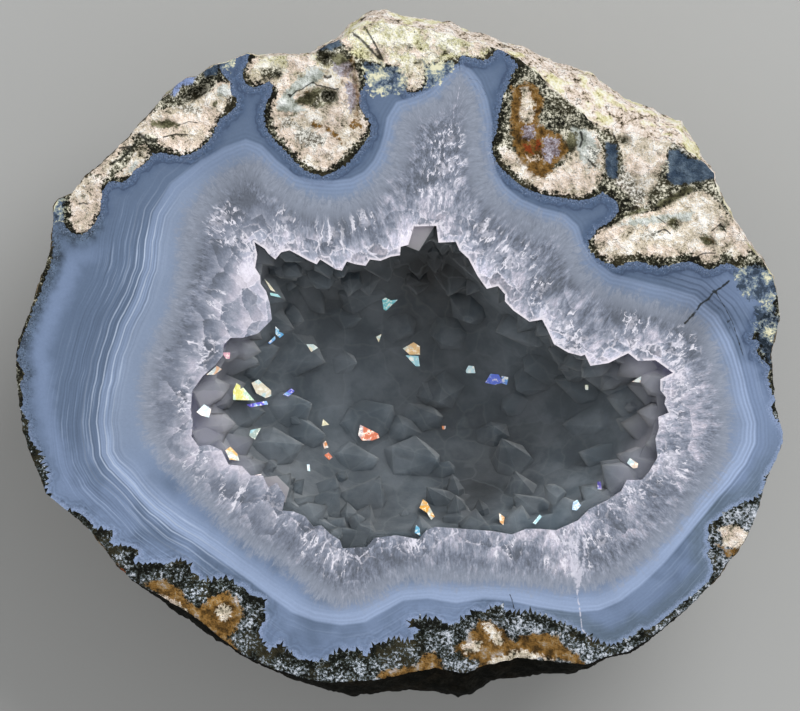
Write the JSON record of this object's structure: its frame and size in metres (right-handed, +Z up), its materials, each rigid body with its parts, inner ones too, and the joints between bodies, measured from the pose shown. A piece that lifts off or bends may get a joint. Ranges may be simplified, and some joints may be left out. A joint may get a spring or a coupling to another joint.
{
  "type": "agate geode",
  "caption": "Half of a natural agate geode, sawn and polished: a banded blue-grey chalcedony wall in host rock round a quartz-lined hollow, lying on its rounded back.",
  "frame": {"origin": "middle of the flat on the rounded back that the stone rests on", "axes": "+Z up, out of the polished face; +X to the right and +Y to the top of the picture; the face lies level at the greatest height"},
  "size_m": [0.1105, 0.0997, 0.046],
  "materials": {
    "agate": "sawn face polished, back rough and weathered",
    "quartz": "milky to clear crystal, polished where it meets the face"
  },
  "bodies": {
    "root": {"agate_shell": "agate", "quartz_crust": "quartz"}
  },
  "joints": []
}
